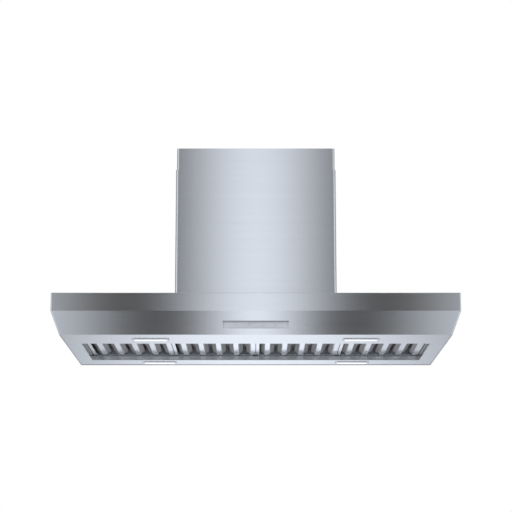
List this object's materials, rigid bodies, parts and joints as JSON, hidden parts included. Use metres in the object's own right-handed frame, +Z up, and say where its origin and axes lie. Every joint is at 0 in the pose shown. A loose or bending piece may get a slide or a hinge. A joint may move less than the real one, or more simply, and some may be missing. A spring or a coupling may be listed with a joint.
{
  "type": "island range hood",
  "caption": "Ceiling-hung island range hood: wide canopy with leaning skirt, baffle filters, lamps and push buttons under a telescoping chimney with a ducted blower.",
  "frame": {"origin": "middle of the ceiling plane, on the top face of the ceiling bracket", "axes": "+Z up, +X along the width, the front with the buttons faces -Y"},
  "size_m": [1.216, 0.69, 0.6209],
  "materials": {
    "brushed_steel": "brushed across the width",
    "zinc_steel": "dull zinc",
    "screw_steel": "satin",
    "lamp_steel": "satin",
    "filter_steel": "bright",
    "wire_steel": "polished",
    "motor_black": "satin",
    "black_plastic": "matte",
    "board_green": "matte",
    "control_grey": "matte",
    "button_grey": "matte",
    "lamp_lens": "frosted"
  },
  "bodies": {
    "mast": {"ceiling_bracket": "zinc_steel", "upper_posts": "zinc_steel", "upper_chimney_front": "brushed_steel", "upper_chimney_rear": "brushed_steel", "upper_chimney_screws": "screw_steel", "post_clamp_bolts": "screw_steel"},
    "hood": {"lower_posts": "zinc_steel", "chimney_brackets": "zinc_steel", "lower_chimney_front": "brushed_steel", "lower_chimney_rear": "brushed_steel", "lower_chimney_screws": "screw_steel", "canopy_shell": "brushed_steel", "underside_panel": "brushed_steel", "canopy_stays": "zinc_steel", "stay_screws": "screw_steel", "canopy_bolts": "screw_steel", "filter_pivot_brackets": "zinc_steel", "filter_grip_springs": "zinc_steel", "fan_box": "zinc_steel", "blower_scroll": "zinc_steel", "motor": "motor_black", "motor_bracket": "zinc_steel", "outlet_collar": "zinc_steel", "damper_rod": "zinc_steel", "control_bezel": "control_grey", "control_board": "board_green", "led_driver": "zinc_steel", "junction_box": "zinc_steel", "led_boards": "board_green", "lamp_1_bezel": "lamp_steel", "lamp_1_lens": "lamp_lens", "lamp_2_bezel": "lamp_steel", "lamp_2_lens": "lamp_lens", "lamp_3_bezel": "lamp_steel", "lamp_3_lens": "lamp_lens", "lamp_4_bezel": "lamp_steel", "lamp_4_lens": "lamp_lens"},
    "fan": {"impeller": "black_plastic", "motor_shaft": "zinc_steel"},
    "damper_front": {"damper_flap_front": "zinc_steel"},
    "damper_rear": {"damper_flap_rear": "zinc_steel"},
    "button_1": {"button_1": "button_grey"},
    "button_2": {"button_2": "button_grey"},
    "button_3": {"button_3": "button_grey"},
    "button_4": {"button_4": "button_grey"},
    "button_5": {"button_5": "button_grey"},
    "filter_1": {"filter_1_frame": "filter_steel", "filter_1_baffles": "filter_steel"},
    "handle_1": {"filter_1_handle": "wire_steel"},
    "filter_2": {"filter_2_frame": "filter_steel", "filter_2_baffles": "filter_steel"},
    "handle_2": {"filter_2_handle": "wire_steel"},
    "filter_3": {"filter_3_frame": "filter_steel", "filter_3_baffles": "filter_steel"},
    "handle_3": {"filter_3_handle": "wire_steel"},
    "filter_4": {"filter_4_frame": "filter_steel", "filter_4_baffles": "filter_steel"},
    "handle_4": {"filter_4_handle": "wire_steel"}
  },
  "joints": [
    {"name": "height_adjust", "type": "slide", "parent": "mast", "child": "hood", "axis": [0, 0, -1], "range_m": [0, 0.31]},
    {"name": "fan_spin", "type": "hinge", "parent": "hood", "child": "fan", "pos_m": [0, -0.022, -0.3775], "axis": [1, 0, 0], "continuous": true},
    {"name": "damper_front_swing", "type": "hinge", "parent": "hood", "child": "damper_front", "pos_m": [0, 0, -0.1915], "axis": [-1, 0, 0], "range_deg": [0, 75]},
    {"name": "damper_rear_swing", "type": "hinge", "parent": "hood", "child": "damper_rear", "pos_m": [0, 0, -0.1915], "axis": [1, 0, 0], "range_deg": [0, 75]},
    {"name": "button_1_press", "type": "slide", "parent": "hood", "child": "button_1", "axis": [0, 1, 0], "range_m": [0, 0.0015], "stiffness_N_per_m": 400, "springref_m": -0.002},
    {"name": "button_2_press", "type": "slide", "parent": "hood", "child": "button_2", "axis": [0, 1, 0], "range_m": [0, 0.0015], "stiffness_N_per_m": 400, "springref_m": -0.002},
    {"name": "button_3_press", "type": "slide", "parent": "hood", "child": "button_3", "axis": [0, 1, 0], "range_m": [0, 0.0015], "stiffness_N_per_m": 400, "springref_m": -0.002},
    {"name": "button_4_press", "type": "slide", "parent": "hood", "child": "button_4", "axis": [0, 1, 0], "range_m": [0, 0.0015], "stiffness_N_per_m": 400, "springref_m": -0.002},
    {"name": "button_5_press", "type": "slide", "parent": "hood", "child": "button_5", "axis": [0, 1, 0], "range_m": [0, 0.0015], "stiffness_N_per_m": 400, "springref_m": -0.002},
    {"name": "filter_1_swing", "type": "hinge", "parent": "hood", "child": "filter_1", "pos_m": [-0.39675, 0.2016, -0.5961], "axis": [1, 0, 0], "range_deg": [0, 60]},
    {"name": "handle_1_fold", "type": "hinge", "parent": "filter_1", "child": "handle_1", "pos_m": [-0.39675, -0.1224, -0.6071], "axis": [-1, 0, 0], "range_deg": [0, 90]},
    {"name": "filter_2_swing", "type": "hinge", "parent": "hood", "child": "filter_2", "pos_m": [-0.13225, 0.2016, -0.5961], "axis": [1, 0, 0], "range_deg": [0, 60]},
    {"name": "handle_2_fold", "type": "hinge", "parent": "filter_2", "child": "handle_2", "pos_m": [-0.13225, -0.1224, -0.6071], "axis": [-1, 0, 0], "range_deg": [0, 90]},
    {"name": "filter_3_swing", "type": "hinge", "parent": "hood", "child": "filter_3", "pos_m": [0.13225, 0.2016, -0.5961], "axis": [1, 0, 0], "range_deg": [0, 60]},
    {"name": "handle_3_fold", "type": "hinge", "parent": "filter_3", "child": "handle_3", "pos_m": [0.13225, -0.1224, -0.6071], "axis": [-1, 0, 0], "range_deg": [0, 90]},
    {"name": "filter_4_swing", "type": "hinge", "parent": "hood", "child": "filter_4", "pos_m": [0.39675, 0.2016, -0.5961], "axis": [1, 0, 0], "range_deg": [0, 60]},
    {"name": "handle_4_fold", "type": "hinge", "parent": "filter_4", "child": "handle_4", "pos_m": [0.39675, -0.1224, -0.6071], "axis": [-1, 0, 0], "range_deg": [0, 90]}
  ]
}
